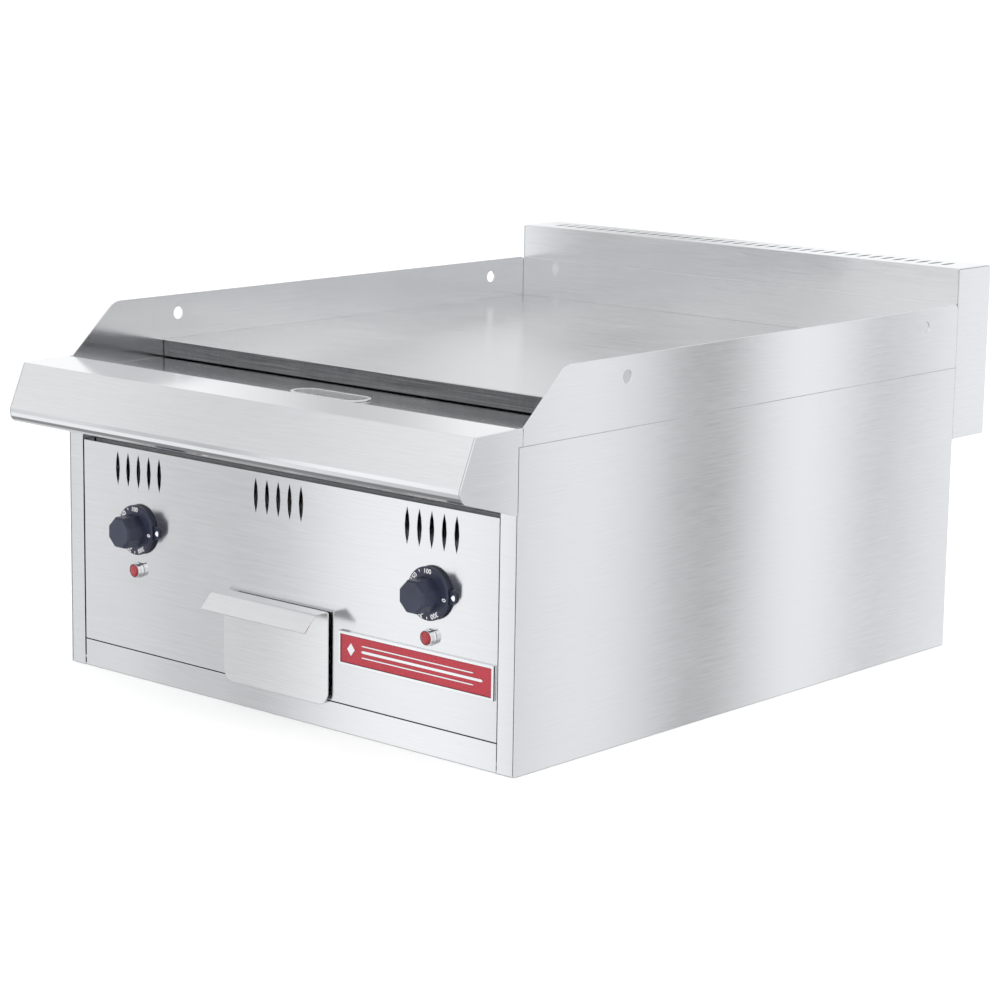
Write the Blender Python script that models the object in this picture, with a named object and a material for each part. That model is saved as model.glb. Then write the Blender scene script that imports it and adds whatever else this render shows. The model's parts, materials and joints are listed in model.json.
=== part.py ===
"""Flat top electric griddle, built in metres with +Z up and the front facing -Y."""

import math

import bmesh
import bpy
from mathutils import Vector

# ---------------------------------------------------------------- driving dimensions
WIDTH = 0.600
HALF = WIDTH / 2
BODY_DEPTH = 0.694
LEDGE_REACH = 0.0760
LEDGE_HALF = 0.2981
FLUE_BACK = 0.7535
CENTRE_Y = (FLUE_BACK - LEDGE_REACH) / 2
GAP = 0.0003

SHEET = 0.0012
PANEL_SHEET = 0.0015
SIDE_TOP = 0.2978
SPLASH_BOTTOM = SIDE_TOP + GAP
SPLASH_TOP = 0.3645
POST_WIDTH = 0.0205
POST_RETURN = 0.018
POST_SEAM = 0.0008
REAR_FLANGE = 0.015
PANEL_FACE = 0.0006
PANEL_HALF = 0.2780
PANEL_BOTTOM = 0.0278
PANEL_TOP = 0.2322
PANEL_RETURN = 0.014
RAIL_TOP = 0.0267
RAIL_RETURN = 0.016
INNER_HALF = 0.2965

CONTROL_X = 0.197
KNOB_Z = 0.1518
LAMP_Z = 0.1110
SLOT_Z = 0.2096
SLOT_LENGTH = 0.0350
SLOT_WIDTH = 0.0058
SLOT_PITCH = 0.0152
SLOTS_PER_GROUP = 5
FLUE_SLOTS = 36
FLUE_SLOT_LENGTH = 0.0315
SLOT_ARC_STEPS = 4

PLATE_FRONT = 0.1260
PLATE_BACK = 0.6912
PLATE_BOTTOM = 0.3020
PLATE_TOP = 0.3195
PLATE_HALF = 0.2980
PLATE_EDGE_BEVEL = 0.0008
TROUGH_FLOOR = 0.2998
DRAIN_Y = 0.0700
DRAIN_LENGTH = 0.0920
DRAIN_WIDTH = 0.0300

DRAWER_HALF = 0.0705
DRAWER_FACE = -0.0036
DRAWER_BOTTOM = 0.0225
DRAWER_RIDGE = 0.1125
DRAWER_CORNER = 0.0125
PULL_FOLD = -0.0205
PULL_TIP = -0.0335
PULL_LIP = 0.0975
TRAY_HALF = 0.0570
TRAY_BOTTOM = 0.0340
TRAY_TOP = 0.0950
TRAY_BACK = 0.2620
OPENING_HALF = 0.0600
OPENING_BOTTOM = 0.0320
OPENING_TOP = 0.1040

ELEMENT_Z = 0.2975
ELEMENT_RADIUS = 0.0040
ELEMENT_LEGS = (0.050, 0.110, 0.170, 0.230)
ELEMENT_FRONT = 0.215
ELEMENT_BACK = 0.620
ELEMENT_DROP_Y = 0.176
BULB_X = 0.080
SHIELD_Z = 0.2500

FLUE_BOTTOM = 0.2220
FLUE_TOP = 0.4017
FLUE_FRONT = 0.6945
FLUE_HALF = 0.2985
SPLASH_HOLES_Y = (0.1472, 0.6350)
SPLASH_HOLE_Z = 0.3451
SPLASH_HOLE_RADIUS = 0.0065

GRIP_SIDES = 8
BADGE_X0 = 0.0835
BADGE_X1 = 0.2765
BADGE_Z0 = 0.0662
BADGE_Z1 = 0.0985
BADGE_FRAME = 0.0026
GLAND_X = -0.200
GLAND_Z = 0.075

STEEL = (0.70, 0.71, 0.72, 1.0)
PALETTE = {
    "brushed": (STEEL, 1.0, 0.25),
    "inner": ((0.50, 0.51, 0.52, 1.0), 1.0, 0.40),
    "plate": ((0.42, 0.43, 0.44, 1.0), 1.0, 0.32),
    "black": ((0.030, 0.034, 0.045, 1.0), 0.0, 0.45),
    "chrome": ((0.85, 0.86, 0.87, 1.0), 1.0, 0.08),
    "red": ((0.45, 0.02, 0.03, 1.0), 0.0, 0.20),
    "element": ((0.10, 0.09, 0.09, 1.0), 1.0, 0.55),
    "wool": ((0.72, 0.69, 0.60, 1.0), 0.0, 0.95),
    "brass": ((0.60, 0.45, 0.18, 1.0), 1.0, 0.30),
    "ceramic": ((0.78, 0.76, 0.72, 1.0), 0.0, 0.45),
}


# ---------------------------------------------------------------- scene and materials
def clear_scene():
    for item in list(bpy.data.objects):
        bpy.data.objects.remove(item, do_unlink=True)


def make_material(name, kind):
    colour, metallic, roughness = PALETTE[kind]
    material = bpy.data.materials.new(name)
    material.use_nodes = True
    shader = material.node_tree.nodes["Principled BSDF"]
    shader.inputs["Base Color"].default_value = colour
    shader.inputs["Metallic"].default_value = metallic
    shader.inputs["Roughness"].default_value = roughness
    return material


def add_object(name, mesh, kind, origin=(0.0, 0.0, 0.0)):
    """Link a mesh given in machine coordinates, with its origin at the given point."""
    for vertex in mesh.vertices:
        vertex.co = vertex.co - Vector(origin)
    item = bpy.data.objects.new(name, mesh)
    item.location = Vector(origin) - Vector((0.0, CENTRE_Y, 0.0))
    bpy.context.scene.collection.objects.link(item)
    if kind:
        mesh.materials.append(make_material(name + "_finish", kind))
    return item


def build_mesh(name, vertices, faces):
    """Closed mesh with its faces turned outwards."""
    mesh = bpy.data.meshes.new(name)
    work = bmesh.new()
    made = [work.verts.new(point) for point in vertices]
    for face in faces:
        work.faces.new([made[index] for index in face])
    bmesh.ops.recalc_face_normals(work, faces=work.faces)
    work.to_mesh(mesh)
    work.free()
    return mesh


def smooth(item, angle=math.radians(35)):
    """Shade round faces smooth and keep the edges above the angle sharp."""
    work = bmesh.new()
    work.from_mesh(item.data)
    for face in work.faces:
        face.smooth = True
    for edge in work.edges:
        edge.smooth = edge.calc_face_angle(0.0) < angle
    work.to_mesh(item.data)
    work.free()
    return item


def bevel(item, width, segments=1):
    modifier = item.modifiers.new("edge", "BEVEL")
    modifier.width = width
    modifier.segments = segments
    modifier.limit_method = "ANGLE"
    modifier.angle_limit = math.radians(40)
    return item


# ---------------------------------------------------------------- shape helpers
AXES = {"X": (1, 2, 0), "Y": (0, 2, 1), "Z": (0, 1, 2)}


def prism_data(points, axis, low, high):
    """Vertices and faces of a closed polygon drawn across an axis and pulled along it."""
    first, second, along = AXES[axis]
    vertices = []
    for level in (low, high):
        for point in points:
            place = [0.0, 0.0, 0.0]
            place[first] = point[0]
            place[second] = point[1]
            place[along] = level
            vertices.append(tuple(place))
    count = len(points)
    faces = [tuple(range(count)), tuple(range(count, 2 * count))]
    for index in range(count):
        following = (index + 1) % count
        faces.append((index, following, count + following, count + index))
    return vertices, faces


def prism(name, points, axis, low, high, kind, origin=(0.0, 0.0, 0.0)):
    vertices, faces = prism_data(points, axis, low, high)
    return add_object(name, build_mesh(name, vertices, faces), kind, origin)


def box(name, x0, x1, y0, y1, z0, z1, kind, origin=(0.0, 0.0, 0.0)):
    outline = ((y0, z0), (y1, z0), (y1, z1), (y0, z1))
    return prism(name, outline, "X", x0, x1, kind, origin)


def folded(path, thickness):
    """Outline of a sheet whose outer face follows the path, offset to its left side."""
    inner = []
    for index, point in enumerate(path):
        here = Vector(point)
        normals = []
        if index > 0:
            step = here - Vector(path[index - 1])
            normals.append(Vector((-step.y, step.x)).normalized())
        if index < len(path) - 1:
            step = Vector(path[index + 1]) - here
            normals.append(Vector((-step.y, step.x)).normalized())
        mean = sum(normals, Vector((0.0, 0.0))).normalized()
        inner.append(tuple(here + mean * thickness / mean.dot(normals[0])))
    return [tuple(point) for point in path] + inner[::-1]


def arc(centre, radius, start, stop, steps):
    """Points on a circle, in degrees, both ends included."""
    points = []
    for index in range(steps + 1):
        angle = math.radians(start + (stop - start) * index / steps)
        points.append((centre[0] + radius * math.cos(angle), centre[1] + radius * math.sin(angle)))
    return points


def circle(centre, radius, steps):
    return arc(centre, radius, 0.0, 360.0, steps)[:-1]


def lens_outline(centre, length, width):
    """Upright pointed slot made of two equal arcs."""
    half = length / 2
    bulge = width / 2
    radius = (half * half + bulge * bulge) / (2 * bulge)
    sweep = math.degrees(math.asin(half / radius))
    points = arc((radius - bulge, 0.0), radius, 180 + sweep, 180 - sweep, SLOT_ARC_STEPS)
    points += [(-across, -along) for across, along in points][1:-1]
    return [(centre[0] + first, centre[1] + second) for first, second in points]


def cut(item, pieces, label="opening"):
    """Cut a list of (outline, axis, low, high) prisms out of an item with one Boolean."""
    vertices = []
    faces = []
    for outline, axis, low, high in pieces:
        more, shapes = prism_data(outline, axis, low, high)
        faces += [tuple(index + len(vertices) for index in face) for face in shapes]
        vertices += more
    cutter = add_object(item.name + "_" + label, build_mesh(item.name + "_" + label, vertices, faces), None)
    hide_tool(cutter)
    join(item, cutter, "DIFFERENCE", label)
    return item


def join(item, other, operation, label):
    modifier = item.modifiers.new(label, "BOOLEAN")
    modifier.object = other
    modifier.operation = operation
    modifier.solver = "EXACT"


def lathe(name, profile, centre, steps, kind, turn=0.0, origin=None):
    """Turn (radius, y) points about an axis parallel to Y. A closed profile makes a ring."""
    vertices = []
    rings = []
    for radius, along in profile:
        if radius == 0.0:
            rings.append([len(vertices)])
            vertices.append((centre[0], along, centre[1]))
            continue
        ring = []
        for index in range(steps):
            angle = turn + 2 * math.pi * index / steps
            ring.append(len(vertices))
            vertices.append((centre[0] + radius * math.cos(angle), along, centre[1] + radius * math.sin(angle)))
        rings.append(ring)
    closed = len(rings[0]) > 1
    faces = []
    pairs = list(zip(rings, rings[1:]))
    if closed:
        pairs.append((rings[-1], rings[0]))
    for lower, upper in pairs:
        for index in range(steps):
            following = (index + 1) % steps
            corners = [lower[index % len(lower)], lower[following % len(lower)]]
            corners += [upper[following % len(upper)], upper[index % len(upper)]]
            faces.append(tuple(dict.fromkeys(corners)))
    item = add_object(name, build_mesh(name, vertices, faces), kind, origin or (0.0, 0.0, 0.0))
    return smooth(item)


def tube(name, path, radii, sides, kind):
    """Round bar along a path of points, with flat ends."""
    vertices = []
    faces = []
    points = [Vector(point) for point in path]
    guide = Vector((0.0, 0.0, 1.0))
    for index, point in enumerate(points):
        before = points[max(index - 1, 0)]
        after = points[min(index + 1, len(points) - 1)]
        tangent = (after - before).normalized()
        guide = guide - tangent * guide.dot(tangent)
        if guide.length < 0.01:
            guide = tangent.orthogonal()
        guide.normalize()
        second = tangent.cross(guide)
        for side in range(sides):
            angle = 2 * math.pi * side / sides
            vertices.append(tuple(point + (guide * math.cos(angle) + second * math.sin(angle)) * radii[index]))
    for index in range(len(points) - 1):
        for side in range(sides):
            following = (side + 1) % sides
            base = index * sides
            faces.append((base + side, base + following, base + sides + following, base + sides + side))
    faces.append(tuple(range(sides)))
    faces.append(tuple(range(len(vertices) - sides, len(vertices))))
    item = add_object(name, build_mesh(name, vertices, faces), kind)
    return smooth(item)


def obround_points(half_straight, radius, centre_y, steps):
    points = arc((half_straight, centre_y), radius, -90.0, 90.0, steps)
    points += arc((-half_straight, centre_y), radius, 90.0, 270.0, steps)
    return points


# ---------------------------------------------------------------- cabinet
def side_panels():
    for label, sign in (("left", -1), ("right", 1)):
        path = [(HALF, 0.0), (HALF, BODY_DEPTH), (HALF - REAR_FLANGE, BODY_DEPTH)]
        outline = [(sign * across, along) for across, along in folded(path, SHEET)]
        prism("side_panel_" + label, outline, "Z", 0.0, SIDE_TOP, "brushed")
        inner = HALF - POST_WIDTH
        outer = HALF - SHEET - POST_SEAM
        path = [(inner, POST_RETURN), (inner, 0.0), (outer, 0.0), (outer, POST_RETURN)]
        outline = [(sign * across, along) for across, along in folded(path, SHEET)]
        prism("front_post_" + label, outline, "Z", 0.0, SIDE_TOP, "brushed")


def slot_group(centre_x):
    pieces = []
    for index in range(SLOTS_PER_GROUP):
        across = centre_x + (index - (SLOTS_PER_GROUP - 1) / 2) * SLOT_PITCH
        pieces.append((lens_outline((across, SLOT_Z), SLOT_LENGTH, SLOT_WIDTH), "Y", -0.01, 0.01))
    return pieces


def control_panel():
    back = PANEL_FACE + PANEL_RETURN
    path = [(back, PANEL_TOP), (PANEL_FACE, PANEL_TOP), (PANEL_FACE, PANEL_BOTTOM), (back, PANEL_BOTTOM)]
    panel = prism("control_panel", folded(path, PANEL_SHEET), "X", -PANEL_HALF, PANEL_HALF, "brushed")
    pieces = []
    for centre_x in (-CONTROL_X, 0.0, CONTROL_X):
        pieces += slot_group(centre_x)
    for centre_x in (-CONTROL_X, CONTROL_X):
        pieces.append((circle((centre_x, KNOB_Z), 0.0055, 20), "Y", -0.01, 0.01))
        pieces.append((circle((centre_x, LAMP_Z), 0.0053, 20), "Y", -0.01, 0.01))
    opening = ((-OPENING_HALF, OPENING_BOTTOM), (OPENING_HALF, OPENING_BOTTOM),
               (OPENING_HALF, OPENING_TOP), (-OPENING_HALF, OPENING_TOP))
    pieces.append((opening, "Y", -0.01, 0.01))
    cut(panel, pieces)


def upper_rail():
    """Cross rail behind the ledge. It closes the slit above the control panel."""
    path = [(0.0200, 0.2280), (0.0165, 0.2280), (0.0165, 0.2990), (0.0300, 0.2990)]
    prism("upper_rail", folded(path, -SHEET), "X", -PANEL_HALF, PANEL_HALF, "inner")


def base_rail():
    back = PANEL_FACE + RAIL_RETURN
    path = [(back, RAIL_TOP), (PANEL_FACE, RAIL_TOP), (PANEL_FACE, 0.0), (back, 0.0)]
    prism("base_rail", folded(path, SHEET), "X", -PANEL_HALF, PANEL_HALF, "brushed")


def bottom_pan():
    edge = 0.2978
    path = [(-edge, 0.018), (-edge, 0.0015), (edge, 0.0015), (edge, 0.018)]
    prism("bottom_pan", folded(path, SHEET), "Y", 0.0205, 0.6900, "inner")


def rear_panel():
    panel = box("rear_panel", -INNER_HALF, INNER_HALF, 0.6910, 0.6922, 0.0035, 0.2960, "inner")
    pieces = [(circle((GLAND_X, GLAND_Z), 0.0105, 24), "Y", 0.68, 0.70)]
    cut(panel, pieces + air_windows(0.68, 0.70))


def air_windows(low, high):
    """Air passages between the cabinet and the vent box."""
    pieces = []
    for centre_x in (-0.20, -0.10, 0.0, 0.10, 0.20):
        outline = ((centre_x - 0.04, 0.232), (centre_x + 0.04, 0.232),
                   (centre_x + 0.04, 0.246), (centre_x - 0.04, 0.246))
        pieces.append((outline, "Y", low, high))
    return pieces


# ---------------------------------------------------------------- front ledge
def ledge_path():
    """Outer line of the ledge section as (y, z), from the lower rear edge round to the top rear."""
    nose = arc((-0.0640, 0.2668), 0.0120, 240.0, 165.0, 4)
    return [(-0.0010, 0.2372)] + nose + [(-0.0571, 0.3133), (-0.0010, 0.3145)]


def front_ledge():
    path = ledge_path() + [(-0.0010, 0.3000)]
    outline = folded(path, -SHEET)
    smooth(prism("front_ledge", outline, "X", -LEDGE_HALF, LEDGE_HALF, "brushed"), math.radians(30))


def ledge_caps():
    """Flat end plates. Above the posts they reach back to the splash guards."""
    outline = ledge_path()[:-1]
    outline += [(0.0042, 0.3145), (0.0042, 0.2982), (-0.0010, 0.2982)]
    for label, sign in (("left", -1), ("right", 1)):
        prism("ledge_cap_" + label, outline, "X", sign * (HALF - PANEL_SHEET), sign * HALF, "brushed")


# ---------------------------------------------------------------- splash guards
def side_splashes():
    for label, sign in (("left", -1), ("right", 1)):
        inner = HALF - PANEL_SHEET
        tab = inner - PANEL_SHEET
        outline = [(HALF, SPLASH_BOTTOM), (HALF, SPLASH_TOP), (inner, SPLASH_TOP), (inner, 0.2990),
                   (tab, 0.2990), (tab, 0.2850), (inner, 0.2850), (inner, SPLASH_BOTTOM)]
        outline = [(sign * across, up) for across, up in outline]
        splash = prism("splash_" + label, outline, "Y", 0.0046, BODY_DEPTH, "brushed")
        shoulder = arc((0.0690, 0.3425), 0.0220, 131.0, 90.0, 5)
        corner = [(0.0040, 0.2700), (0.0250, 0.2700), (0.0250, 0.29804), (0.0047, 0.29804), (0.0053, 0.3146)]
        corner += shoulder + [(0.0690, 0.3800), (0.0000, 0.3800), (0.0000, 0.2700)]
        rear = arc((0.6880, 0.3585), 0.0060, 90.0, 0.0, 4)
        rear += [(0.7000, 0.3585), (0.7000, 0.3800), (0.6880, 0.3800)]
        low = sign * 0.2900
        high = sign * 0.3100
        cut(splash, [(corner, "X", low, high)], "shoulder")
        tab_end = ((0.6905, 0.2700), (0.7000, 0.2700), (0.7000, 0.3000), (0.6905, 0.3000))
        pieces = [(rear, "X", low, high), (tab_end, "X", sign * 0.2900, sign * inner)]
        for along in SPLASH_HOLES_Y:
            pieces.append((circle((along, SPLASH_HOLE_Z), SPLASH_HOLE_RADIUS, 20), "X", low, high))
        cut(splash, pieces, "holes")


def rear_splash():
    box("splash_rear", -0.2982, 0.2982, 0.6925, 0.6940, SPLASH_BOTTOM, SPLASH_TOP, "brushed")


# ---------------------------------------------------------------- cooking plate and trough
def griddle_plate():
    plate = box("griddle_plate", -PLATE_HALF, PLATE_HALF, PLATE_FRONT, PLATE_BACK, PLATE_BOTTOM, PLATE_TOP, "plate")
    bevel(plate, PLATE_EDGE_BEVEL)


def grease_trough():
    path = [(0.0003, 0.3138), (0.0003, TROUGH_FLOOR), (0.1380, TROUGH_FLOOR), (0.1380, 0.2900)]
    trough = prism("grease_trough", folded(path, SHEET), "X", -PLATE_HALF, PLATE_HALF, "brushed")
    half_straight = (DRAIN_LENGTH - DRAIN_WIDTH) / 2
    slot = obround_points(half_straight, DRAIN_WIDTH / 2, DRAIN_Y, 8)
    cut(trough, [(slot, "Z", 0.2950, 0.3060)], "drain")
    # The ends are notched to pass over the tabs of the splash guards.
    notches = []
    for sign in (-1, 1):
        outline = ((sign * 0.2966, 0.1300), (sign * 0.3000, 0.1300), (sign * 0.3000, 0.1450), (sign * 0.2966, 0.1450))
        notches.append((outline, "Z", 0.2850, 0.3030))
    cut(trough, notches, "notches")


def drain_chute():
    """Tapered funnel through the trough slot, with a rim lying on the trough floor."""
    rings = ((0.0310, 0.0170, 0.3013), (0.0310, 0.0170, 0.3025), (0.0310, 0.0135, 0.3025),
             (0.0310, 0.0135, 0.2850), (0.0180, 0.0118, 0.2300), (0.0180, 0.0118, 0.1080),
             (0.0180, 0.0130, 0.1080), (0.0180, 0.0130, 0.2300), (0.0310, 0.0147, 0.2850),
             (0.0310, 0.0147, 0.3013))
    vertices = []
    faces = []
    for half_straight, radius, level in rings:
        for across, along in obround_points(half_straight, radius, DRAIN_Y, 6):
            vertices.append((across, along, level))
    count = len(vertices) // len(rings)
    for ring in range(len(rings)):
        base = ring * count
        above = ((ring + 1) % len(rings)) * count
        for index in range(count):
            following = (index + 1) % count
            faces.append((base + index, base + following, above + following, above + index))
    smooth(add_object("drain_chute", build_mesh("drain_chute", vertices, faces), "brushed"))


def plate_supports():
    for label, front in (("front", 0.1420), ("rear", 0.6680)):
        back = front + 0.020
        path = [(back, 0.3017), (front, 0.3017), (front, 0.2620), (back, 0.2620)]
        prism("plate_support_" + label, folded(path, 0.0020), "X", -INNER_HALF, INNER_HALF, "inner")


def heat_shield():
    edge = INNER_HALF
    path = [(-edge, 0.2750), (-edge, SHIELD_Z), (edge, SHIELD_Z), (edge, 0.2750)]
    prism("heat_shield", folded(path, SHEET), "Y", 0.1900, 0.6650, "inner")
    pad = box("insulation_pad", -0.2900, 0.2900, 0.1920, 0.6630, 0.2515, 0.2740, "wool")
    bevel(pad, 0.003)


def element_path(sign):
    """Centre line of one looped element, with both ends turned down at the front."""
    radius = (ELEMENT_LEGS[1] - ELEMENT_LEGS[0]) / 2
    drop = 0.010
    points = [(ELEMENT_LEGS[0], ELEMENT_DROP_Y, 0.2380)]
    for first, second in arc((ELEMENT_DROP_Y + drop, ELEMENT_Z - drop), drop, 180.0, 90.0, 4):
        points.append((ELEMENT_LEGS[0], first, second))
    ends = (ELEMENT_BACK, ELEMENT_FRONT, ELEMENT_BACK)
    for index, along in enumerate(ends):
        middle = ELEMENT_LEGS[index] + radius
        bend = arc((middle, along), radius, 180.0, 0.0, 8)
        if along == ELEMENT_FRONT:
            bend = [(across, 2 * along - length) for across, length in bend]
        points += [(across, length, ELEMENT_Z) for across, length in bend]
    last = ELEMENT_LEGS[3]
    for first, second in arc((ELEMENT_DROP_Y + drop, ELEMENT_Z - drop), drop, 90.0, 180.0, 4):
        points.append((last, first, second))
    points.append((last, ELEMENT_DROP_Y, 0.2380))
    return [(sign * across, along, up) for across, along, up in points]


def heating():
    for label, sign in (("left", -1), ("right", 1)):
        path = element_path(sign)
        tube("heating_element_" + label, path, [ELEMENT_RADIUS] * len(path), 8, "element")
        for place, front in (("front", 0.300), ("rear", 0.520)):
            low = 0.2882
            bar = 0.2932
            studs = [(0.036, low), (0.244, low), (0.244, bar)]
            for centre in (0.200, 0.140):
                studs += [(centre + 0.004, bar), (centre + 0.004, 0.3017), (centre - 0.004, 0.3017), (centre - 0.004, bar)]
            studs.append((0.036, bar))
            outline = [(sign * across, up) for across, up in studs]
            prism("element_clamp_" + label + "_" + place, outline, "Y", front, front + 0.016, "inner")


# ---------------------------------------------------------------- vent box
def vent_box():
    path = [(FLUE_FRONT, FLUE_BOTTOM), (FLUE_FRONT, FLUE_TOP), (FLUE_BACK, FLUE_TOP), (FLUE_BACK, FLUE_BOTTOM)]
    shell = prism("vent_box_shell", folded(path, -SHEET), "X", -FLUE_HALF, FLUE_HALF, "brushed")
    middle = (FLUE_FRONT + FLUE_BACK) / 2
    pieces = air_windows(0.690, 0.700)
    for index in range(FLUE_SLOTS):
        across = (index - (FLUE_SLOTS - 1) / 2) * SLOT_PITCH
        pieces.append((lens_outline((across, middle), FLUE_SLOT_LENGTH, SLOT_WIDTH), "Z", 0.396, 0.408))
    cut(shell, pieces)
    for label, sign in (("left", -1), ("right", 1)):
        box("vent_box_end_" + label, sign * (FLUE_HALF + GAP), sign * HALF, FLUE_FRONT, FLUE_BACK,
            FLUE_BOTTOM, FLUE_TOP - SHEET, "brushed")
    box("vent_box_floor", -0.2982, 0.2982, FLUE_FRONT + 0.0015, FLUE_BACK - 0.0015, FLUE_BOTTOM, 0.2232, "brushed")


# ---------------------------------------------------------------- grease drawer
def drawer():
    origin = (0.0, DRAWER_FACE, TRAY_BOTTOM)
    path = [(DRAWER_FACE, DRAWER_BOTTOM), (DRAWER_FACE, DRAWER_RIDGE - 0.0010), (DRAWER_FACE - 0.0015, DRAWER_RIDGE),
            (PULL_FOLD + 0.0012, DRAWER_RIDGE), (PULL_FOLD, DRAWER_RIDGE - 0.0010), (PULL_TIP, PULL_LIP)]
    front = prism("drawer_front", folded(path, -SHEET), "X", -DRAWER_HALF, DRAWER_HALF, "brushed", origin)
    corners = []
    for sign in (-1, 1):
        centre = (sign * (DRAWER_HALF - DRAWER_CORNER), DRAWER_BOTTOM + DRAWER_CORNER)
        curve = arc(centre, DRAWER_CORNER, 0.0 if sign > 0 else 180.0, -90.0 if sign > 0 else 270.0, 6)
        reach = sign * (DRAWER_HALF + 0.003)
        curve += [(centre[0], DRAWER_BOTTOM - 0.003), (reach, DRAWER_BOTTOM - 0.003), (reach, centre[1])]
        corners.append((curve, "Y", -0.010, 0.010))
    cut(front, corners, "corners")
    tray_front = DRAWER_FACE + SHEET + GAP
    tray = box("drawer_tray", -TRAY_HALF, TRAY_HALF, tray_front, TRAY_BACK, TRAY_BOTTOM, TRAY_TOP, "inner", origin)
    inside = ((tray_front + SHEET, TRAY_BOTTOM + SHEET), (TRAY_BACK - SHEET, TRAY_BOTTOM + SHEET),
              (TRAY_BACK - SHEET, TRAY_TOP + 0.01), (tray_front + SHEET, TRAY_TOP + 0.01))
    cut(tray, [(inside, "X", -TRAY_HALF + SHEET, TRAY_HALF - SHEET)], "hollow")


def drawer_runners():
    for label, sign in (("left", -1), ("right", 1)):
        web = TRAY_HALF + 0.0005
        lip = TRAY_BOTTOM - GAP
        outline = [(web, 0.0800), (web, lip), (0.0500, lip), (0.0500, lip - SHEET), (web, lip - SHEET),
                   (web, 0.0030), (web + 0.014, 0.0030), (web + 0.014, 0.0042), (web + SHEET, 0.0042),
                   (web + SHEET, 0.0800)]
        outline = [(sign * across, up) for across, up in outline]
        prism("drawer_runner_" + label, outline, "Y", 0.0210, 0.2900, "inner")


# ---------------------------------------------------------------- controls
def hide_tool(item):
    """Mark a shape that only serves a Boolean."""
    item.hide_render = True
    item.display_type = "WIRE"


def knobs():
    for label, sign in (("left", -1), ("right", 1)):
        centre = (sign * CONTROL_X, KNOB_Z)
        origin = (centre[0], PANEL_FACE, KNOB_Z)
        skirt = [(0.0, -0.0019), (0.0240, -0.0019), (0.0250, -0.0026), (0.0250, -0.0040), (0.0240, -0.0050),
                 (0.0, -0.0056)]
        knob = lathe("knob_" + label, skirt, centre, 40, "black", 0.0, origin)
        grip_profile = [(0.0, -0.0045), (0.0168, -0.0045), (0.0166, -0.0075), (0.0162, -0.0238), (0.0146, -0.0262),
                        (0.0, -0.0262)]
        grip = lathe(knob.name + "_grip", grip_profile, centre, GRIP_SIDES, None, math.pi / GRIP_SIDES, origin)
        hide_tool(grip)
        join(knob, grip, "UNION", "grip")
        cut(knob, [(circle(centre, 0.0034, 16), "Y", -0.0180, 0.0100)], "bore")
        shaft = [(0.0, 0.0155), (0.0030, 0.0155), (0.0030, -0.0170), (0.0025, -0.0176), (0.0, -0.0176)]
        lathe("spindle_" + label, shaft, centre, 16, "brass", 0.0, origin)
        dial_ring(label, centre)
        thermostat(label, centre)


def dial_ring(label, centre):
    """Black ring behind the knob with a lug at its right that carries the pointer."""
    outer = arc((0.0, 0.0), 0.0240, 17.0, 343.0, 30)
    lug = [(0.0285, -0.0062), (0.0315, -0.0038), (0.0325, 0.0), (0.0315, 0.0038), (0.0285, 0.0062)]
    outline = [(centre[0] + across, centre[1] + up) for across, up in outer + lug]
    ring = prism("dial_ring_" + label, outline, "Y", -0.0016, 0.0003, "black")
    cut(ring, [(circle(centre, 0.0070, 20), "Y", -0.01, 0.01)], "bore")


def thermostat(label, centre):
    x0 = centre[0] - 0.0220
    x1 = centre[0] + 0.0220
    body = box("thermostat_" + label, x0, x1, 0.0060, 0.0460, centre[1] - 0.018, centre[1] + 0.018, "ceramic")
    name = "thermostat_" + label + "_neck"
    neck = lathe(name, [(0.0, 0.0080), (0.0050, 0.0080), (0.0050, -0.0012), (0.0, -0.0012)], centre, 20, None)
    hide_tool(neck)
    join(body, neck, "UNION", "neck")
    cut(body, [(circle(centre, 0.0034, 16), "Y", -0.010, 0.0160)], "bore")


def thermostat_bulbs():
    for label, sign in (("left", -1), ("right", 1)):
        path = [(BULB_X, 0.350, ELEMENT_Z), (BULB_X, 0.348, ELEMENT_Z), (BULB_X, 0.260, ELEMENT_Z),
                (BULB_X, 0.256, ELEMENT_Z), (BULB_X, 0.186, ELEMENT_Z), (BULB_X, 0.179, 0.2945),
                (BULB_X, 0.176, 0.2870), (BULB_X, 0.176, 0.2300), (BULB_X + 0.003, 0.172, 0.2200),
                (0.110, 0.130, 0.2050), (0.150, 0.090, 0.1850), (0.185, 0.064, 0.1700), (0.195, 0.054, 0.1640),
                (CONTROL_X, 0.0463, 0.1620)]
        radii = [0.0018, 0.0030, 0.0030] + [0.0010] * 11
        path = [(sign * across, along, up) for across, along, up in path]
        tube("thermostat_bulb_" + label, path, radii, 8, "brass")


def pilot_lamps():
    for label, sign in (("left", -1), ("right", 1)):
        centre = (sign * CONTROL_X, LAMP_Z)
        shell = [(0.0, 0.0160), (0.0046, 0.0160), (0.0050, 0.0150), (0.0050, 0.0003), (0.0079, 0.0003),
                 (0.0079, -0.0008), (0.0074, -0.0014), (0.0074, -0.0058), (0.0071, -0.0062), (0.0067, -0.0062),
                 (0.0065, -0.0058), (0.0065, -0.0010), (0.0, -0.0010)]
        lathe("pilot_bezel_" + label, shell, centre, 28, "chrome")
        lens = [(0.0, -0.0013), (0.0062, -0.0013), (0.0062, -0.0058), (0.0042, -0.0070), (0.0, -0.0072)]
        lathe("pilot_lens_" + label, lens, centre, 12, "red")
        nut = [(0.0053, 0.0024), (0.0085, 0.0024), (0.0085, 0.0060), (0.0053, 0.0060)]
        lathe("pilot_nut_" + label, nut, centre, 18, "chrome")


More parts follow.
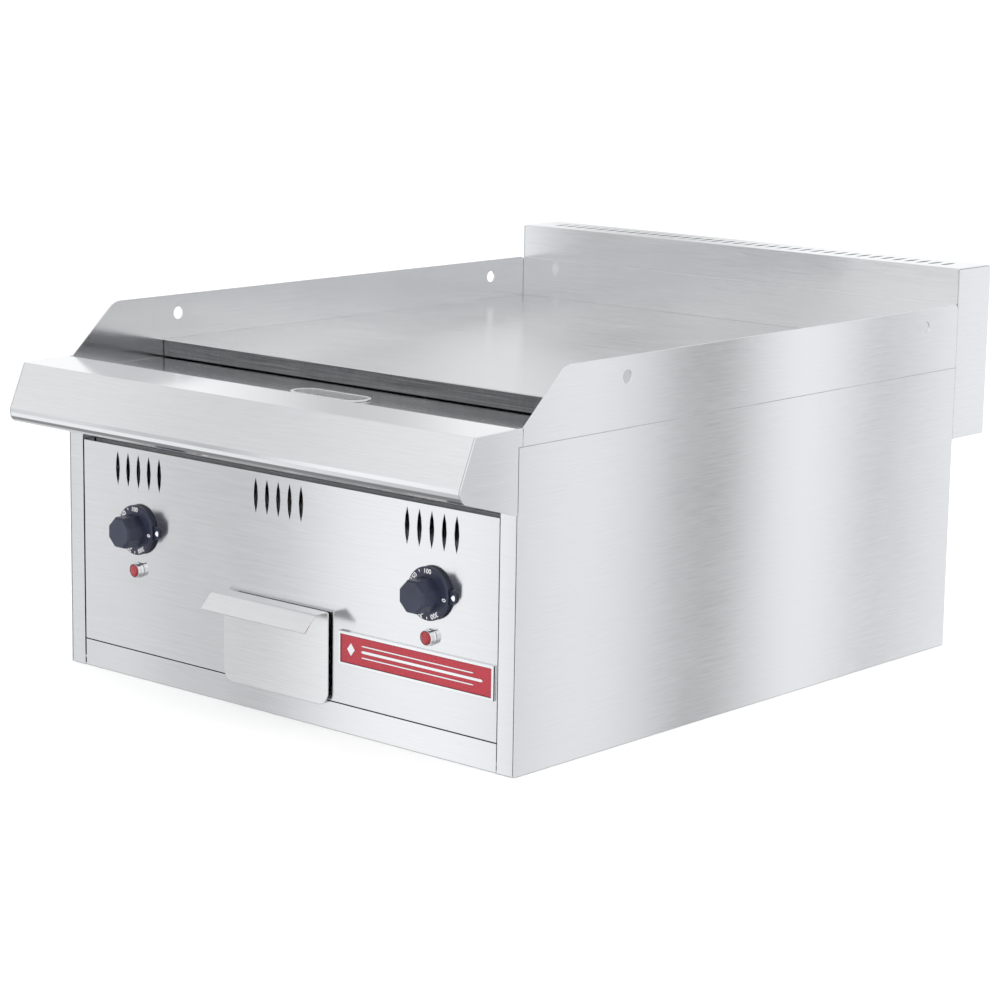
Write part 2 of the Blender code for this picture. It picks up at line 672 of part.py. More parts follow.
def badge():
    plate_edge = BADGE_FRAME + GAP
    outer = ((BADGE_X0, BADGE_Z0), (BADGE_X1, BADGE_Z0), (BADGE_X1, BADGE_Z1), (BADGE_X0, BADGE_Z1))
    inner = ((BADGE_X0 + BADGE_FRAME, BADGE_Z0 + BADGE_FRAME), (BADGE_X1 - BADGE_FRAME, BADGE_Z0 + BADGE_FRAME),
             (BADGE_X1 - BADGE_FRAME, BADGE_Z1 - BADGE_FRAME), (BADGE_X0 + BADGE_FRAME, BADGE_Z1 - BADGE_FRAME))
    frame = prism("badge_frame", outer, "Y", -0.0028, 0.0003, "chrome")
    cut(frame, [(inner, "Y", -0.01, 0.01)], "window")
    box("badge_plate", BADGE_X0 + plate_edge, BADGE_X1 - plate_edge, -0.0018, 0.0003,
        BADGE_Z0 + plate_edge, BADGE_Z1 - plate_edge, "red")


# ---------------------------------------------------------------- supply
def supply():
    centre = (GLAND_X, GLAND_Z)
    gland = [(0.0060, 0.6800), (0.0098, 0.6800), (0.0098, 0.6926), (0.0140, 0.6926), (0.0140, 0.6990),
             (0.0128, 0.7010), (0.0128, 0.7090), (0.0100, 0.7140), (0.0060, 0.7140)]
    lathe("cable_gland", gland, centre, 24, "black")
    nut = [(0.0102, 0.6855), (0.0145, 0.6855), (0.0145, 0.6905), (0.0102, 0.6905)]
    lathe("gland_nut", nut, centre, 18, "black")
    steps = []
    for index in range(3):
        base = -0.150 + index * 0.018
        steps += [(base, 0.072), (base, 0.084), (base + 0.014, 0.084), (base + 0.014, 0.072)]
    outline = [(-0.156, 0.060), (-0.156, 0.072)] + steps + [(-0.094, 0.072), (-0.094, 0.060)]
    prism("terminal_block", outline, "Y", 0.6600, 0.6900, "ceramic")


def main():
    clear_scene()
    side_panels()
    control_panel()
    upper_rail()
    base_rail()
    bottom_pan()
    rear_panel()
    front_ledge()
    ledge_caps()
    side_splashes()
    rear_splash()
    griddle_plate()
    grease_trough()
    drain_chute()
    plate_supports()
    heat_shield()
    heating()
    vent_box()
    drawer()
    drawer_runners()
    knobs()
    thermostat_bulbs()
    pilot_lamps()
    badge()
    supply()


main()
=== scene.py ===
"""Looks, light and camera for the flat top griddle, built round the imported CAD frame."""
import json
import math

import bpy
from mathutils import Matrix, Vector

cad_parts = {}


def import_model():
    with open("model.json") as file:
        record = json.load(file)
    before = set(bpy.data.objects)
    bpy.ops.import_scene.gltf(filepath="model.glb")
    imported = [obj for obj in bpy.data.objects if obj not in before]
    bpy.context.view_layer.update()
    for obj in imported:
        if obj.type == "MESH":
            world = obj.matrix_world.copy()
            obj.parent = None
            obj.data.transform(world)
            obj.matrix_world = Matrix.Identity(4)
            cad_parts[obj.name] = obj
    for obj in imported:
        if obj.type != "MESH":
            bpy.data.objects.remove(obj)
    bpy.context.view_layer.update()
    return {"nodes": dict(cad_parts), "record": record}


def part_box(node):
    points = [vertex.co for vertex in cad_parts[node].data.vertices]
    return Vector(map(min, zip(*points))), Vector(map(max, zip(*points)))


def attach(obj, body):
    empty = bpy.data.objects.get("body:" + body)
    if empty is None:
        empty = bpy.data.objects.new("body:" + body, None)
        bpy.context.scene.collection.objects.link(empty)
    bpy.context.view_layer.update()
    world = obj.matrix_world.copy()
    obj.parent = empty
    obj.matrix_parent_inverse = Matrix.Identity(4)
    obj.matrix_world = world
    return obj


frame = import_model()
NODES = frame["nodes"]
SLOT_OF = {part["node"]: part["material_slot"] for part in frame["record"]["subparts"]}

# Nodes with a look of their own. The drawer front's lighter steel is a painted sheen.
OWN_LOOK = {"drawer_front": "drawer", "drain_chute": "chute", "control_panel": "panel"}

# Nodes whose brushed grain runs front to back. On all others it runs left to right.
GRAIN_Y = ("side_panel_left", "side_panel_right", "splash_left", "splash_right", "ledge_cap_left",
           "ledge_cap_right", "vent_box_end_left", "vent_box_end_right")


# ---------------------------------------------------------------- settings
# Dial print, in metres. Angles are counterclockwise from +X, seen from the front, with the knob at rest.
DIAL = ((-7, "0"), (89, "100"), (115, ""), (141, "150"), (167, ""), (193, "200"), (219, ""), (245, "250"),
        (271, ""), (297, "300"))
SKIRT_FACE = -0.0058
NUMERAL_SIZE = 0.0064
NUMERAL_DEPTH = 0.00016
NUMERAL_REACH = 0.0208
TICK_HALF_WIDTH = 0.00036
TICK_HALF_HEIGHT = 0.0009
TICK_DEPTH = 0.00014
TICK_REACH = 0.0222
POINTER_INSET = 0.0036
POINTER_DEPTH = 0.0003
PRINT_LIFT = 0.00002

# Colours: one tone, or a darker and a lighter one.
STEEL = (0.83, 0.835, 0.845)
SHEATH_TONES = ((0.05, 0.045, 0.045), (0.13, 0.11, 0.10))
WOOL_TONES = ((0.50, 0.46, 0.36), (0.80, 0.77, 0.68))
BRASS_TONES = ((0.50, 0.36, 0.13), (0.66, 0.50, 0.22))
CERAMIC_TONES = ((0.70, 0.67, 0.62), (0.82, 0.80, 0.76))

# Badge inlay, in metres. Each rule is (height above the middle, half thickness).
BADGE_RULES = ((0.0055, 0.0006), (0.0, 0.0013), (-0.0055, 0.0006))
BADGE_RELIEF = 0.0004
LOZENGE_HALF_WIDTH = 0.0050
LOZENGE_HALF_HEIGHT = 0.0062
LOZENGE_INSET = 0.013
RULE_START_INSET = 0.028
RULE_STOP_INSET = 0.012
RULE_POINT = 0.002

# Studio. Bands are (compass angle in degrees from +Y towards +X, tone). The first table covers the whole room
# and the front and side tables darken it further over a short span. High bands take over above the horizon.
STEEP_START = 0.15
STEEP_STOP = 0.50
LOW_START = -0.32
LOW_STOP = -0.75
FLOOR_REACH = 60.0
FLOOR_DROP = 0.0005
LIGHT_AIM = (0.0, 0.0, 0.2)
PLAIN_STRENGTH = 1.18
WORLD_STRENGTH = 1.14
LOW_TONE = 0.50
ROOM_BANDS = ((-180, 0.62), (-152, 0.96), (-122, 0.96), (-105, 0.42), (-90, 0.60), (-70, 0.92), (-48, 0.96),
              (-44.5, 0.52), (-41.5, 0.98), (-38.5, 0.62), (-35, 0.94), (-10, 0.80), (15, 0.96), (45, 0.96),
              (49, 0.58), (53, 0.96), (75, 0.62), (95, 0.94), (130, 0.78), (165, 0.62), (180, 0.62))
FRONT_BANDS = ((-150, 1.0), (-147, 1.0), (-145.5, 0.84), (-144, 0.60), (-142.6, 0.74),
               (-141, 0.48), (-139.9, 0.52), (-139.0, 0.96), (-136.6, 1.0), (-135.4, 0.94), (-134.7, 0.66),
               (-133.7, 0.46), (-132.9, 0.66), (-132.3, 0.54), (-131.2, 0.78), (-130.0, 0.70), (-127, 1.0))
SIDE_BANDS = ((28, 1.0), (32.3, 0.88), (33.1, 0.72), (33.8, 0.52), (34.4, 0.86), (35.3, 1.0), (36.0, 0.80),
              (36.8, 0.36), (37.6, 0.42), (38.3, 0.76), (39.4, 0.88), (40.8, 0.80), (41.5, 0.60),
              (42.4, 0.64), (44, 1.0))
HIGH_BANDS = ((-180, 0.90), (-142, 1.0), (-137.5, 1.0), (-135, 0.88), (-133, 0.90), (-130, 0.64),
              (-120, 0.68), (-60, 0.80), (-42, 0.55), (-36, 0.85), (0, 0.80), (60, 0.9), (180, 0.90))

# Camera: azimuth, elevation and roll in degrees, then metres and millimetres of lens.
CAMERA_ANGLES = (41.27, 11.08, 0.91)
CAMERA_AIM = (0.2730, -0.33255, 0.2471)
CAMERA_DISTANCE = 2.533
CAMERA_LENS = 103.72


# ---------------------------------------------------------------- node helpers
class Shader:
    """A material with a Principled shader and short calls that add nodes to it."""

    def __init__(self, name):
        self.material = bpy.data.materials.new(name)
        self.material.use_nodes = True
        self.tree = self.material.node_tree
        self.out = self.tree.nodes["Principled BSDF"]

    def node(self, kind, **settings):
        made = self.tree.nodes.new(kind)
        for key, value in settings.items():
            setattr(made, key, value)
        return made

    def link(self, source, target):
        self.tree.links.new(source, target)

    def set(self, **values):
        for key, value in values.items():
            self.out.inputs[key.replace("_", " ")].default_value = value

    def coords(self, scale):
        """Object coordinates stretched by a scale per axis."""
        place = self.node("ShaderNodeTexCoord")
        mapping = self.node("ShaderNodeMapping")
        mapping.inputs["Scale"].default_value = scale
        self.link(place.outputs["Object"], mapping.inputs["Vector"])
        return mapping.outputs["Vector"]

    def noise(self, scale, size=1.0, detail=3.0, rough=0.5):
        made = self.node("ShaderNodeTexNoise")
        made.inputs["Scale"].default_value = size
        made.inputs["Detail"].default_value = detail
        made.inputs["Roughness"].default_value = rough
        self.link(self.coords(scale), made.inputs["Vector"])
        return made.outputs["Fac"]

    def mix(self, first, second, factor=0.5):
        made = self.node("ShaderNodeMix", data_type="FLOAT")
        made.inputs["Factor"].default_value = factor
        self.link(first, made.inputs["A"])
        self.link(second, made.inputs["B"])
        return made.outputs["Result"]

    def ranged(self, source, low, high, start=0.3, stop=0.7):
        made = self.node("ShaderNodeMapRange")
        for key, value in (("From Min", start), ("From Max", stop), ("To Min", low), ("To Max", high)):
            made.inputs[key].default_value = value
        self.link(source, made.inputs["Value"])
        return made.outputs["Result"]

    def ramp(self, source, stops):
        made = self.node("ShaderNodeValToRGB")
        ramp = made.color_ramp
        while len(ramp.elements) < len(stops):
            ramp.elements.new(0.5)
        for element, (position, colour) in zip(ramp.elements, stops):
            element.position = position
            element.color = tuple(colour) + (1.0,)
        self.link(source, made.inputs["Fac"])
        return made.outputs["Color"]

    def colour(self, source, stops):
        self.link(self.ramp(source, stops), self.out.inputs["Base Color"])

    def roughness(self, source, low, high, start=0.3, stop=0.7):
        self.link(self.ranged(source, low, high, start, stop), self.out.inputs["Roughness"])

    def stretch_across(self, along):
        """Highlights stretch across the grain, in the surface."""
        geometry = self.node("ShaderNodeNewGeometry")
        cross = self.node("ShaderNodeVectorMath", operation="CROSS_PRODUCT")
        grain = [0.012, 0.017, 0.014]
        grain["XYZ".index(along)] = 1.0
        cross.inputs[1].default_value = grain
        self.link(geometry.outputs["True Normal"], cross.inputs[0])
        self.link(cross.outputs["Vector"], self.out.inputs["Tangent"])

    def surface(self, height, distance, strength=1.0, edge=0.0006):
        """Bump over softly rounded edges."""
        bump = self.node("ShaderNodeBump")
        bump.inputs["Strength"].default_value = strength
        bump.inputs["Distance"].default_value = distance
        self.link(height, bump.inputs["Height"])
        if edge:
            rounded = self.node("ShaderNodeBevel", samples=4)
            rounded.inputs["Radius"].default_value = edge
            self.link(rounded.outputs["Normal"], bump.inputs["Normal"])
        self.link(bump.outputs["Normal"], self.out.inputs["Normal"])


# ---------------------------------------------------------------- materials
def brushed(name, along, tone, rough, depth=0.000012, contrast=0.04, spread=0.02, stretch=0.9,
            edge=0.0007):
    """Brushed sheet: fine grain along one axis, faint blotches and rubbed marks."""
    shader = Shader(name)
    fine = [1300.0, 1300.0, 1300.0]
    coarse = [620.0, 620.0, 620.0]
    axis = "XYZ".index(along)
    fine[axis] = 40.0
    coarse[axis] = 12.0
    grain = shader.mix(shader.noise(fine, detail=2.0), shader.noise(coarse, detail=3.0), 0.4)
    cloud = shader.noise((6.0, 6.0, 6.0), detail=4.0, rough=0.6)
    both = shader.mix(grain, cloud, 0.35)
    dark = [channel * (1 - contrast) for channel in tone]
    light = [min(channel * (1 + contrast), 1.0) for channel in tone]
    shader.colour(both, ((0.35, dark), (0.65, light)))
    shader.roughness(both, rough - spread, rough + spread)
    shader.set(Metallic=1.0, Anisotropic=stretch)
    shader.stretch_across(along)
    shader.surface(grain, depth, 0.6, edge)
    return shader.material


def ground_plate(name):
    """Ground cooking plate with cross scratches and a light seasoning stain."""
    shader = Shader(name)
    grain = shader.noise((10.0, 700.0, 700.0), detail=2.0)
    scratch = shader.noise((420.0, 26.0, 100.0), detail=4.0, rough=0.7)
    stain = shader.noise((5.0, 7.0, 5.0), detail=5.0, rough=0.6)
    worn = shader.mix(shader.mix(grain, scratch, 0.35), stain, 0.4)
    tones = ((0.30, (0.58, 0.58, 0.58)), (0.55, (0.72, 0.72, 0.72)), (0.72, (0.79, 0.79, 0.78)))
    top = shader.ramp(worn, tones)
    edge = shader.ramp(worn, ((0.35, (0.11, 0.11, 0.115)), (0.65, (0.30, 0.30, 0.305))))
    geometry = shader.node("ShaderNodeNewGeometry")
    split = shader.node("ShaderNodeSeparateXYZ")
    shader.link(geometry.outputs["True Normal"], split.inputs["Vector"])
    facing_up = shader.ranged(split.outputs["Z"], 0.0, 1.0, 0.2, 0.5)
    blend = shader.node("ShaderNodeMix", data_type="RGBA")
    shader.link(facing_up, blend.inputs["Factor"])
    shader.link(edge, blend.inputs["A"])
    shader.link(top, blend.inputs["B"])
    shader.link(blend.outputs["Result"], shader.out.inputs["Base Color"])
    shader.roughness(worn, 0.16, 0.30)
    shader.set(Metallic=1.0, Anisotropic=0.5)
    shader.stretch_across("X")
    shader.surface(worn, 0.00003, 0.6, edge=0.0012)
    return shader.material


def moulded(name, tone, rough, depth=0.00004):
    """Moulded plastic with a fine skin and slightly polished patches."""
    shader = Shader(name)
    skin = shader.noise((1800.0, 1800.0, 1800.0), detail=2.0)
    patch = shader.noise((60.0, 60.0, 60.0), detail=3.0)
    both = shader.mix(skin, patch, 0.5)
    darker = [channel * 0.8 for channel in tone]
    lighter = [channel * 1.3 for channel in tone]
    shader.colour(both, ((0.35, darker), (0.65, lighter)))
    shader.roughness(both, rough - 0.06, rough + 0.06)
    shader.set(Specular_IOR_Level=0.5)
    shader.surface(skin, depth, 0.5, edge=0.0007)
    return shader.material


def chromed(name):
    shader = Shader(name)
    cloud = shader.noise((240.0, 240.0, 240.0), detail=3.0)
    shader.colour(cloud, ((0.3, (0.86, 0.87, 0.88)), (0.7, (0.93, 0.94, 0.95))))
    shader.roughness(cloud, 0.05, 0.12)
    shader.set(Metallic=1.0)
    shader.surface(cloud, 0.00001, 0.3, edge=0.0004)
    return shader.material


def lens(name):
    """Red pilot lens: a mottled, faceted inside seen through a glossy face."""
    shader = Shader(name)
    cells = shader.node("ShaderNodeTexVoronoi", feature="F1")
    cells.inputs["Scale"].default_value = 1.0
    shader.link(shader.coords((950.0, 950.0, 950.0)), cells.inputs["Vector"])
    tones = ((0.10, (0.42, 0.012, 0.025)), (0.60, (0.25, 0.004, 0.010)), (1.0, (0.12, 0.002, 0.005)))
    shader.colour(cells.outputs["Distance"], tones)
    shader.roughness(cells.outputs["Distance"], 0.10, 0.25, 0.0, 1.0)
    shader.set(Coat_Weight=0.6, Coat_Roughness=0.05, Specular_IOR_Level=0.6)
    shader.surface(cells.outputs["Distance"], 0.0003, 0.5, edge=0.0005)
    return shader.material


def enamel(name):
    shader = Shader(name)
    peel = shader.noise((300.0, 300.0, 300.0), detail=2.0)
    cloud = shader.noise((40.0, 40.0, 40.0), detail=3.0)
    both = shader.mix(peel, cloud, 0.6)
    shader.colour(both, ((0.3, (0.34, 0.018, 0.032)), (0.7, (0.39, 0.022, 0.038))))
    shader.roughness(both, 0.22, 0.34)
    shader.set(Coat_Weight=0.15, Coat_Roughness=0.15)
    shader.surface(peel, 0.00002, 0.4, edge=0.0004)
    return shader.material


def printed(name):
    """White dial print, slightly worn."""
    shader = Shader(name)
    worn = shader.noise((900.0, 900.0, 900.0), detail=3.0)
    shader.colour(worn, ((0.3, (0.72, 0.73, 0.76)), (0.6, (0.92, 0.92, 0.94))))
    shader.roughness(worn, 0.40, 0.60)
    return shader.material


def rough_solid(name, tones, metallic, rough, size, depth):
    """Wool, ceramic, brass and element sheath: a blotchy colour with a matching relief."""
    shader = Shader(name)
    spots = shader.noise((size, size, size), detail=5.0, rough=0.65)
    shader.colour(spots, ((0.3, tones[0]), (0.7, tones[1])))
    shader.roughness(spots, rough - 0.08, min(rough + 0.08, 1.0))
    shader.set(Metallic=metallic)
    shader.surface(spots, depth, 0.7, edge=0.0005)
    return shader.material


def make_materials():
    return {
        "brushed_X": brushed("steel_grain_x", "X", STEEL, 0.10),
        "brushed_Y": brushed("steel_grain_y", "Y", STEEL, 0.10),
        "panel": brushed("steel_panel", "X", STEEL, 0.13),
        "chute": brushed("steel_chute", "X", (0.94, 0.945, 0.95), 0.34, stretch=0.3),
        # Drawer front: the same steel painted lighter (0.90 against 0.83), a painted sheen standing in for
        # its brighter reflection.
        "drawer": brushed("steel_drawer_painted_sheen", "X", (0.90, 0.905, 0.91), 0.13, edge=0.0012),
        "inner": brushed("sheet_inner", "X", (0.55, 0.56, 0.57), 0.36, stretch=0.3),
        "plate": ground_plate("ground_plate"),
        "black": moulded("knob_plastic", (0.022, 0.027, 0.050), 0.34),
        "chrome": chromed("chrome"),
        "lens": lens("pilot_red"),
        "enamel": enamel("badge_enamel"),
        "print": printed("dial_print"),
        "element": rough_solid("element_sheath", SHEATH_TONES, 1.0, 0.55, 300.0, 0.0001),
        "wool": rough_solid("mineral_wool", WOOL_TONES, 0.0, 0.90, 180.0, 0.002),
        "brass": rough_solid("brass", BRASS_TONES, 1.0, 0.32, 400.0, 0.00003),
        "ceramic": rough_solid("ceramic", CERAMIC_TONES, 0.0, 0.45, 500.0, 0.00005),
    }


def dress(materials):
    for name, item in NODES.items():
        slot = SLOT_OF[name]
        if slot == "brushed":
            slot = "brushed_Y" if name in GRAIN_Y else "brushed_X"
        slot = OWN_LOOK.get(name, slot)
        item.data.materials.clear()
        item.data.materials.append(materials[slot])


# ---------------------------------------------------------------- added pieces
def add_mesh(name, vertices, faces, material, body):
    mesh = bpy.data.meshes.new(name)
    mesh.from_pydata(vertices, [], faces)
    mesh.update()
    mesh.materials.append(material)
    item = bpy.data.objects.new(name, mesh)
    bpy.context.scene.collection.objects.link(item)
    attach(item, body)
    return item


def raised(outline, depth, bevel=0.25):
    """Closed raised mark: an (x, z) outline pulled towards -Y, its face drawn in a little."""
    count = len(outline)
    middle = Vector((sum(p[0] for p in outline), sum(p[1] for p in outline))) / count
    vertices = [(x, 0.0, z) for x, z in outline] + [(x, -depth * 0.6, z) for x, z in outline]
    for x, z in outline:
        inward = (Vector((x, z)) - middle).normalized() * depth * bevel
        vertices.append((x - inward.x, -depth, z - inward.y))
    faces = [tuple(range(count)), tuple(range(3 * count - 1, 2 * count - 1, -1))]
    for ring in (0, 1):
        for index in range(count):
            following = (index + 1) % count
            a = ring * count
            faces.append((a + index, a + count + index, a + count + following, a + following))
    return vertices, faces


def merge(parts):
    """One vertex list and one face list out of several."""
    vertices = []
    faces = []
    for more, shapes in parts:
        faces += [tuple(index + len(vertices) for index in face) for face in shapes]
        vertices += more
    return vertices, faces


def placed(part, matrix):
    vertices, faces = part
    return [tuple(matrix @ Vector(point)) for point in vertices], faces


def numeral(text, size, depth):
    """Vertices and faces of a number, standing in the XZ plane and facing -Y."""
    curve = bpy.data.curves.new("numeral", "FONT")
    curve.body = text
    curve.size = size
    curve.align_x = "CENTER"
    curve.align_y = "CENTER"
    curve.extrude = depth / 2
    curve.resolution_u = 3
    curve.offset = size * 0.012
    item = bpy.data.objects.new("numeral", curve)
    bpy.context.scene.collection.objects.link(item)
    mesh = bpy.data.meshes.new_from_object(item.evaluated_get(bpy.context.evaluated_depsgraph_get()))
    upright = Matrix.Rotation(math.radians(90), 4, "X")
    vertices = [tuple(upright @ vertex.co) for vertex in mesh.vertices]
    faces = [tuple(face.vertices) for face in mesh.polygons]
    bpy.data.objects.remove(item)
    bpy.data.curves.remove(curve)
    bpy.data.meshes.remove(mesh)
    return vertices, faces


def bar(half_width, half_height, depth):
    """Upright mark with round ends."""
    outline = []
    for centre, start in ((half_height, 0.0), (-half_height, 180.0)):
        for step in range(7):
            angle = math.radians(start + 30.0 * step)
            outline.append((half_width * math.cos(angle), centre + half_width * math.sin(angle)))
    return raised(outline[::-1], depth)


def dial_print(side, materials):
    """Numbers and ticks round one knob's skirt. They turn with the knob."""
    low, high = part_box("knob_" + side)
    middle = (low + high) / 2
    face = SKIRT_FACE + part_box("control_panel")[0].y
    parts = []
    for angle, text in DIAL:
        radians = math.radians(angle)
        turn = Matrix.Rotation(math.radians(90 - angle), 4, "Y")
        if text:
            shape = numeral(text, NUMERAL_SIZE, NUMERAL_DEPTH)
            reach = NUMERAL_REACH
        else:
            shape = bar(TICK_HALF_WIDTH, TICK_HALF_HEIGHT, TICK_DEPTH)
            reach = TICK_REACH
        spot = Vector((middle.x + reach * math.cos(radians), face, middle.z + reach * math.sin(radians)))
        parts.append(placed(shape, Matrix.Translation(spot) @ turn))
    vertices, faces = merge(parts)
    add_mesh("dial_print_" + side, vertices, faces, materials["print"], "knob_" + side + "_body")


def pointer_mark(side, materials):
    """White diamond on the lug of the fixed dial ring."""
    low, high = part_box("dial_ring_" + side)
    knob_low, knob_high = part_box("knob_" + side)
    centre = Vector((high.x - POINTER_INSET, low.y - PRINT_LIFT, knob_low.z / 2 + knob_high.z / 2))
    outline = [(-0.0026, 0.0), (-0.0005, 0.0024), (0.0016, 0.0026), (0.0022, 0.0), (0.0016, -0.0026),
               (-0.0005, -0.0024)]
    part = placed(raised(outline, POINTER_DEPTH, 1.2), Matrix.Translation(centre))
    add_mesh("pointer_mark_" + side, part[0], part[1], materials["print"], "cabinet")


def badge_inlay(materials):
    """Plain striped inlay in place of any mark: a lozenge and three rules."""
    low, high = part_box("badge_plate")
    middle_z = (low.z + high.z) / 2
    face = low.y - PRINT_LIFT
    lozenge = [(0.0, LOZENGE_HALF_HEIGHT), (LOZENGE_HALF_WIDTH, 0.0), (0.0, -LOZENGE_HALF_HEIGHT),
               (-LOZENGE_HALF_WIDTH, 0.0)]
    spot = Matrix.Translation((low.x + LOZENGE_INSET, face, middle_z))
    parts = [placed(raised(lozenge, BADGE_RELIEF), spot)]
    start = low.x + RULE_START_INSET
    for offset, half in BADGE_RULES:
        stop = high.x - RULE_STOP_INSET - abs(offset) * 2
        level = middle_z + offset
        rule = [(start, level - half), (stop, level - half), (stop + RULE_POINT, level),
                (stop, level + half), (start, level + half), (start - RULE_POINT, level)]
        parts.append(placed(raised(rule[::-1], BADGE_RELIEF), Matrix.Translation((0.0, face, 0.0))))
    vertices, faces = merge(parts)
    add_mesh("badge_inlay", vertices, faces, materials["chrome"], "cabinet")


# ---------------------------------------------------------------- stage, light and camera
def stage():
    """Wide pale floor."""
    corners = ((-1, -1), (1, -1), (1, 1), (-1, 1))
    vertices = [(across * FLOOR_REACH, along * FLOOR_REACH, 0.0) for across, along in corners]
    mesh = bpy.data.meshes.new("stage_floor")
    mesh.from_pydata(vertices, [], [(0, 1, 2, 3)])
    shader = Shader("stage_paper")
    grain = shader.noise((3.0, 3.0, 3.0), detail=2.0)
    shader.colour(grain, ((0.3, (0.925, 0.925, 0.925)), (0.7, (0.94, 0.94, 0.94))))
    shader.set(Roughness=0.9, Specular_IOR_Level=0.1)
    mesh.materials.append(shader.material)
    floor = bpy.data.objects.new("stage_floor", mesh)
    floor.location.z = -FLOOR_DROP
    floor.visible_glossy = False
    bpy.context.scene.collection.objects.link(floor)


def band_ramp(tree, azimuth, bands):
    """Grey tones over a short span of compass angle, in degrees from +Y towards +X."""
    first = bands[0][0]
    last = bands[-1][0]
    turn = tree.nodes.new("ShaderNodeMapRange")
    turn.inputs["From Min"].default_value = math.radians(first)
    turn.inputs["From Max"].default_value = math.radians(last)
    tree.links.new(azimuth, turn.inputs["Value"])
    ramp = tree.nodes.new("ShaderNodeValToRGB")
    ramp.color_ramp.interpolation = "EASE"
    while len(ramp.color_ramp.elements) < len(bands):
        ramp.color_ramp.elements.new(0.5)
    for element, (angle, tone) in zip(ramp.color_ramp.elements, bands):
        element.position = (angle - first) / (last - first)
        element.color = (tone * 0.995, tone, min(tone * 1.008, 1.0), 1.0)
    tree.links.new(turn.outputs["Result"], ramp.inputs["Fac"])
    return ramp.outputs["Color"]


def times(tree, first, second):
    """Product of two colours."""
    mix = tree.nodes.new("ShaderNodeMix")
    mix.data_type = "RGBA"
    mix.blend_type = "MULTIPLY"
    mix.inputs["Factor"].default_value = 1.0
    tree.links.new(first, mix.inputs["A"])
    tree.links.new(second, mix.inputs["B"])
    return mix.outputs["Result"]


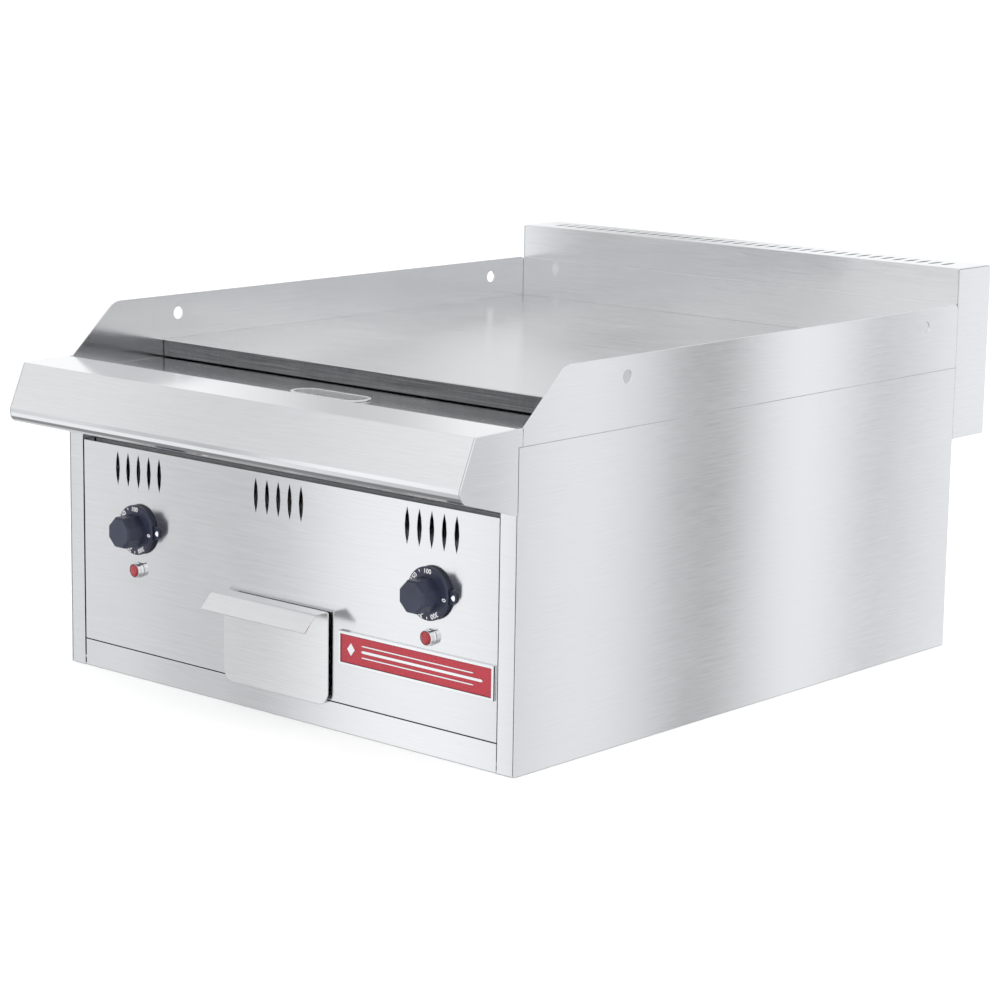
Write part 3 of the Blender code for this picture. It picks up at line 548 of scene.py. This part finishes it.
def world():
    """White for the floor and the camera. Reflections see a soft studio with upright bands."""
    made = bpy.data.worlds.new("studio")
    made.use_nodes = True
    tree = made.node_tree
    tree.nodes.clear()
    out = tree.nodes.new("ShaderNodeOutputWorld")
    mix = tree.nodes.new("ShaderNodeMixShader")
    path = tree.nodes.new("ShaderNodeLightPath")
    plain = tree.nodes.new("ShaderNodeBackground")
    plain.inputs["Color"].default_value = (1.0, 1.0, 1.0, 1.0)
    plain.inputs["Strength"].default_value = PLAIN_STRENGTH
    studio = tree.nodes.new("ShaderNodeBackground")
    studio.inputs["Strength"].default_value = WORLD_STRENGTH
    place = tree.nodes.new("ShaderNodeTexCoord")
    split = tree.nodes.new("ShaderNodeSeparateXYZ")
    tree.links.new(place.outputs["Generated"], split.inputs["Vector"])
    angle = tree.nodes.new("ShaderNodeMath")
    angle.operation = "ARCTAN2"
    tree.links.new(split.outputs["X"], angle.inputs[0])
    tree.links.new(split.outputs["Y"], angle.inputs[1])
    steep = tree.nodes.new("ShaderNodeMapRange")
    steep.interpolation_type = "SMOOTHSTEP"
    steep.inputs["From Min"].default_value = STEEP_START
    steep.inputs["From Max"].default_value = STEEP_STOP
    tree.links.new(split.outputs["Z"], steep.inputs["Value"])
    blend = tree.nodes.new("ShaderNodeMix")
    blend.data_type = "RGBA"
    tree.links.new(steep.outputs["Result"], blend.inputs["Factor"])
    level = band_ramp(tree, angle.outputs["Value"], ROOM_BANDS)
    for bands in (FRONT_BANDS, SIDE_BANDS):
        level = times(tree, level, band_ramp(tree, angle.outputs["Value"], bands))
    tree.links.new(level, blend.inputs["A"])
    tree.links.new(band_ramp(tree, angle.outputs["Value"], HIGH_BANDS), blend.inputs["B"])
    low = tree.nodes.new("ShaderNodeMapRange")
    low.interpolation_type = "SMOOTHSTEP"
    low.inputs["From Min"].default_value = LOW_START
    low.inputs["From Max"].default_value = LOW_STOP
    low.inputs["To Min"].default_value = 1.0
    low.inputs["To Max"].default_value = LOW_TONE
    tree.links.new(split.outputs["Z"], low.inputs["Value"])
    tree.links.new(times(tree, blend.outputs["Result"], low.outputs["Result"]), studio.inputs["Color"])
    tree.links.new(path.outputs["Is Glossy Ray"], mix.inputs["Fac"])
    tree.links.new(plain.outputs["Background"], mix.inputs[1])
    tree.links.new(studio.outputs["Background"], mix.inputs[2])
    tree.links.new(mix.outputs["Shader"], out.inputs["Surface"])
    bpy.context.scene.world = made


def area(name, place, size, power):
    """Soft light that the sheets don't mirror."""
    data = bpy.data.lights.new(name, "AREA")
    data.shape = "RECTANGLE"
    data.size = size[0]
    data.size_y = size[1]
    data.energy = power
    lamp = bpy.data.objects.new(name, data)
    lamp.location = place
    lamp.visible_glossy = False
    lamp.rotation_euler = (Vector(LIGHT_AIM) - Vector(place)).to_track_quat("-Z", "Y").to_euler()
    bpy.context.scene.collection.objects.link(lamp)


def lights():
    area("key", (-1.6, -2.4, 2.6), (1.8, 1.8), 45.0)
    area("top", (0.3, 0.4, 2.8), (2.2, 1.6), 30.0)
    area("fill", (2.8, -0.6, 1.6), (1.2, 2.0), 20.0)


def camera():
    """Right-hand three-quarter view from a little above, with a long lens."""
    azimuth, elevation, roll = (math.radians(angle) for angle in CAMERA_ANGLES)
    level = math.cos(elevation)
    back = Vector((math.sin(azimuth) * level, -math.cos(azimuth) * level, math.sin(elevation)))
    right = Vector((0.0, 0.0, 1.0)).cross(back).normalized()
    up = back.cross(right)
    level_right = right * math.cos(roll) + up * math.sin(roll)
    level_up = up * math.cos(roll) - right * math.sin(roll)
    data = bpy.data.cameras.new("view")
    data.sensor_width = 36.0
    data.lens = CAMERA_LENS
    data.clip_end = 200.0
    item = bpy.data.objects.new("view", data)
    place = Vector(CAMERA_AIM) + back * CAMERA_DISTANCE
    turn = Matrix((level_right, level_up, back)).transposed().to_4x4()
    item.matrix_world = Matrix.Translation(place) @ turn
    bpy.context.scene.collection.objects.link(item)
    bpy.context.scene.camera = item


def main():
    materials = make_materials()
    dress(materials)
    for side in ("left", "right"):
        dial_print(side, materials)
        pointer_mark(side, materials)
    badge_inlay(materials)
    stage()
    world()
    lights()
    camera()
    bpy.context.scene.view_settings.view_transform = "Standard"


main()
